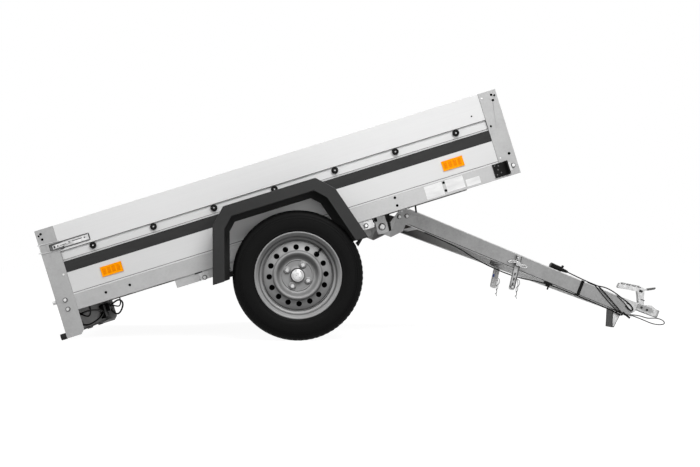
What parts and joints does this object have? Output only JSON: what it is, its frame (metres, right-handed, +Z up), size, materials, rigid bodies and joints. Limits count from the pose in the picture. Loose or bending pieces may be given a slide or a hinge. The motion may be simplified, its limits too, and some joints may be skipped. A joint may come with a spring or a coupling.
{
  "type": "utility trailer",
  "caption": "Single-axle tipping utility trailer with folded metal sides, black moulded fenders and a hinged V drawbar, parked with its bed tipped back.",
  "frame": {"origin": "on the floor, below the middle of the outline", "axes": "+X towards the coupling, +Y to the trailer's left, +Z up"},
  "size_m": [2.9468, 1.5, 1.0688],
  "materials": {
    "zinc_steel": "satin",
    "bright_zinc": "satin",
    "sheet_upper": "satin",
    "sheet_lower": "satin",
    "plywood": "satin",
    "black_plastic": "matte",
    "black_rubber": "matte",
    "tyre": "matte",
    "rim_paint": "satin",
    "hub_steel": "satin",
    "amber": "gloss",
    "red": "gloss",
    "clear": "gloss",
    "cable": "matte"
  },
  "bodies": {
    "bed": {"floor_panel": "plywood", "side_rails": "zinc_steel", "end_cross_members": "zinc_steel", "pivot_cross_member": "zinc_steel", "floor_cross_members": "zinc_steel", "side_panels_lower": "sheet_lower", "side_panels_upper": "sheet_upper", "front_panels": "sheet_upper", "front_posts": "zinc_steel", "rear_posts": "zinc_steel", "rear_lamp_board": "black_plastic", "rear_lamps": "red", "plate_lamp": "black_plastic", "rubber_stubs": "black_rubber", "side_reflectors": "amber", "front_markers": "black_plastic", "marker_lenses": "clear", "fender_right": "black_plastic", "fender_left": "black_plastic", "under_rails": "zinc_steel", "axle_beam": "zinc_steel", "swing_arms": "zinc_steel", "pivot_brackets": "bright_zinc", "tailgate_hinge_ears": "bright_zinc", "rope_buttons": "black_plastic", "tailgate_latches": "bright_zinc"},
    "tailgate": {"tailgate_panels": "sheet_upper", "tailgate_hinge_leaves": "bright_zinc"},
    "drawbar": {"drawbar_beam_right": "zinc_steel", "drawbar_beam_left": "zinc_steel", "drawbar_hinge_plates": "bright_zinc", "drawbar_cross_braces": "zinc_steel", "lock_straps": "bright_zinc", "parking_foot": "bright_zinc", "coupling_housing": "bright_zinc", "coupling_handle": "bright_zinc", "plug": "black_plastic", "wiring_cable": "cable", "safety_cable": "cable"},
    "wheel_right": {"tyre_right": "tyre", "rim_right": "rim_paint", "hub_right": "hub_steel"},
    "wheel_left": {"tyre_left": "tyre", "rim_left": "rim_paint", "hub_left": "hub_steel"}
  },
  "joints": [
    {"name": "drawbar_tilt", "type": "hinge", "parent": "bed", "child": "drawbar", "pos_m": [0.05799, 0, 0.48568], "axis": [0, -1, 0], "range_deg": [0, 32.3]},
    {"name": "tailgate_hinge", "type": "hinge", "parent": "bed", "child": "tailgate", "pos_m": [-1.38957, 0, 0.1642], "axis": [0, -1, 0], "range_deg": [0, 100]},
    {"name": "wheel_right_spin", "type": "hinge", "parent": "bed", "child": "wheel_right", "pos_m": [-0.34413, -0.6625, 0.27365], "axis": [0, 1, 0], "continuous": true},
    {"name": "wheel_left_spin", "type": "hinge", "parent": "bed", "child": "wheel_left", "pos_m": [-0.34413, 0.6625, 0.27365], "axis": [0, 1, 0], "continuous": true}
  ]
}
